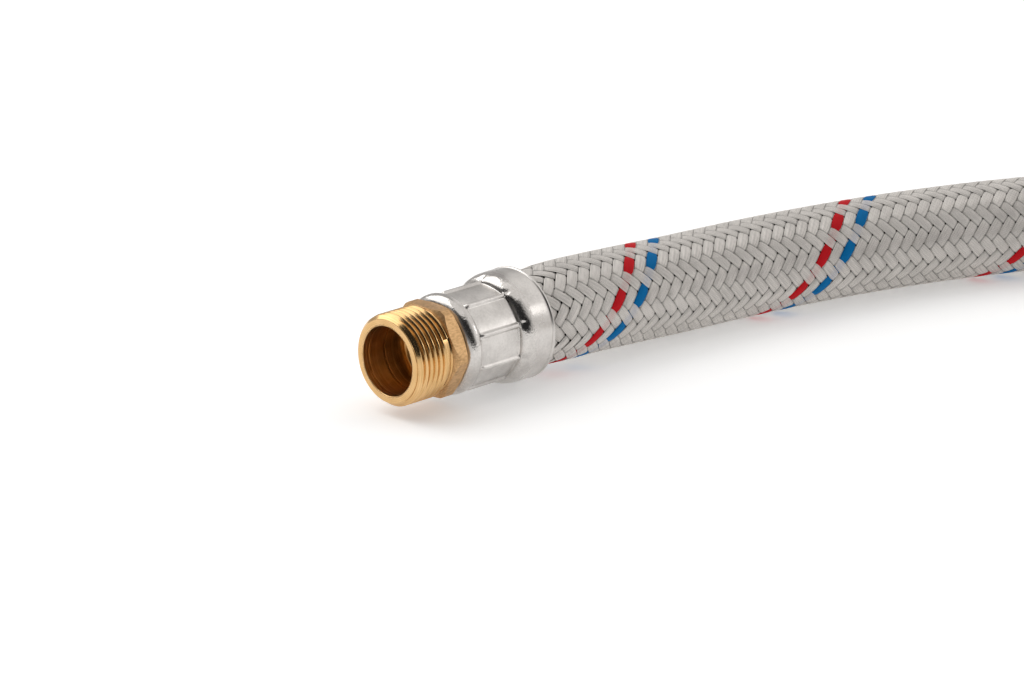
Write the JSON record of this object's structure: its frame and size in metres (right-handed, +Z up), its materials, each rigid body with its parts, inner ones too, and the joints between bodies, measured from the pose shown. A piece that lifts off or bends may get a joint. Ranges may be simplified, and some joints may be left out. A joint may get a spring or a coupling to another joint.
{
  "type": "braided flexible water hose",
  "caption": "Flexible water hose in a braid of steel wire, with a male pipe thread at one end and a swivel nut at the other, lying in a gentle curve.",
  "frame": {"origin": "on the surface that the hose lies on, midway between the two rigid ends along X and along Y", "axes": "+X runs along the male fitting from its open face into the hose, +Y runs along the swivel nut from its open face into the hose, +Z is up"},
  "size_m": [0.3392, 0.2804, 0.0327],
  "materials": {
    "brass": "turned, bright on the threads and satin on the hexagon",
    "bright_steel": "drawn and polished, faintly satin on the crimped panels",
    "braid_wire": "fine drawn wire laid side by side in flat strands",
    "red_tracer": "dyed polyester yarn",
    "blue_tracer": "dyed polyester yarn",
    "hose_rubber": "matt black",
    "gasket_fibre": "matt pressed fibre"
  },
  "bodies": {
    "hose": {"male_fitting": "brass", "male_end_sleeve": "bright_steel", "nut_end_sleeve": "bright_steel", "nut_end_stem": "brass", "nut_gasket": "gasket_fibre", "rubber_tube": "hose_rubber", "wire_braid": "braid_wire"},
    "nut": {"swivel_nut": "brass"}
  },
  "joints": [
    {"name": "nut_swivel", "type": "hinge", "parent": "hose", "child": "nut", "pos_m": [0.15327, -0.14022, 0.01635], "axis": [0, 1, 0], "continuous": true}
  ]
}
